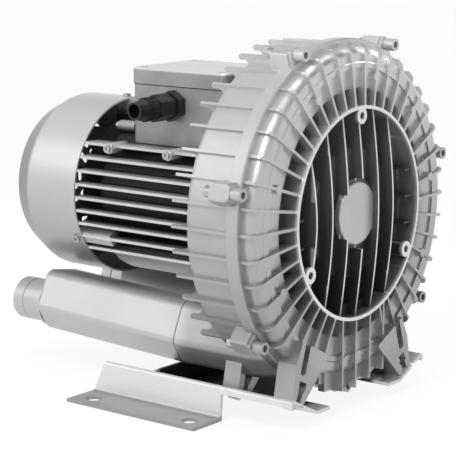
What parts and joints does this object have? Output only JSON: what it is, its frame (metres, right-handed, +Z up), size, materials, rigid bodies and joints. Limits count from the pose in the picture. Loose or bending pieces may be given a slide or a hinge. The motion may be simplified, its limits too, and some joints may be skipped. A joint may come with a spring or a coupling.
{
  "type": "side channel blower",
  "caption": "Side channel blower: ribbed cast casing with flange motor, two underslung silencers with hose nozzles, on a bent sheet base.",
  "frame": {"origin": "centre of the four foot holes, on the floor", "axes": "+Z up; -Y towards the front cover, +Y along the shaft towards the motor's fan cowl; +X to the right seen from the front cover"},
  "size_m": [0.3288, 0.359, 0.337],
  "materials": {
    "cast_aluminium": "die cast, light grey satin",
    "motor_aluminium": "die cast, slightly darker",
    "box_aluminium": "smooth satin casting",
    "impeller_aluminium": "cast, machined faces",
    "base_sheet": "silver satin coat on bent steel sheet",
    "cowl_paint": "silver satin coat on pressed steel",
    "cap_grey": "light grey smooth satin",
    "fastener_steel": "zinc plated steel",
    "bearing_steel": "ground bearing steel",
    "shaft_steel": "turned steel",
    "lamination_steel": "stacked laminations, varnished",
    "copper_wire": "enamelled copper wire, varnished",
    "stud_brass": "plain brass",
    "gland_plastic": "dark moulded nylon",
    "board_plastic": "brown moulded resin",
    "fan_plastic": "dark moulded nylon",
    "rubber_black": "plain black rubber",
    "foam_grey": "open-cell sound foam"
  },
  "bodies": {
    "housing": {"front_cover": "cast_aluminium", "rear_housing": "cast_aluminium", "hub_cap": "cap_grey", "casing_screws": "fastener_steel", "silencer_left": "cast_aluminium", "silencer_right": "cast_aluminium", "foam_left": "foam_grey", "foam_right": "foam_grey", "nozzle_left": "cast_aluminium", "nozzle_right": "cast_aluminium", "silencer_screws": "fastener_steel", "base_frame": "base_sheet", "base_bolts": "fastener_steel", "base_nuts": "fastener_steel", "motor_frame": "motor_aluminium", "flange_screws": "fastener_steel", "side_screws": "fastener_steel", "stator_core": "lamination_steel", "stator_windings": "copper_wire", "end_shield": "motor_aluminium", "shield_screws": "fastener_steel", "fan_cowl": "cowl_paint", "cowl_screws": "fastener_steel", "terminal_box": "box_aluminium", "terminal_gasket": "rubber_black", "terminal_lid": "box_aluminium", "lid_screws": "fastener_steel", "terminal_board": "board_plastic", "terminal_studs": "stud_brass", "gland_body": "gland_plastic", "gland_nut": "gland_plastic", "gland_seal": "rubber_black", "gland_locknut": "gland_plastic", "shaft_seal": "rubber_black", "wave_spring": "bearing_steel", "bearing_outer_rings": "bearing_steel"},
    "rotor": {"shaft": "shaft_steel", "impeller": "impeller_aluminium", "impeller_key": "fastener_steel", "spacer_sleeve": "shaft_steel", "rotor_core": "lamination_steel", "cooling_fan": "fan_plastic", "fan_circlip": "fastener_steel", "bearing_inner_rings": "bearing_steel"},
    "front_ball_set": {"balls_front": "bearing_steel"},
    "rear_ball_set": {"balls_rear": "bearing_steel"}
  },
  "joints": [
    {"name": "rotor_spin", "type": "hinge", "parent": "housing", "child": "rotor", "pos_m": [0, 0, 0.1815], "axis": [0, 1, 0], "continuous": true},
    {"name": "front_balls_spin", "type": "hinge", "parent": "housing", "child": "front_ball_set", "pos_m": [0, 0, 0.1815], "axis": [0, 1, 0], "continuous": true},
    {"name": "rear_balls_spin", "type": "hinge", "parent": "housing", "child": "rear_ball_set", "pos_m": [0, 0, 0.1815], "axis": [0, 1, 0], "continuous": true}
  ],
  "couplings": [
    {"joint": "front_balls_spin", "follows": "rotor_spin", "ratio": 0.3987},
    {"joint": "rear_balls_spin", "follows": "rotor_spin", "ratio": 0.3987}
  ]
}
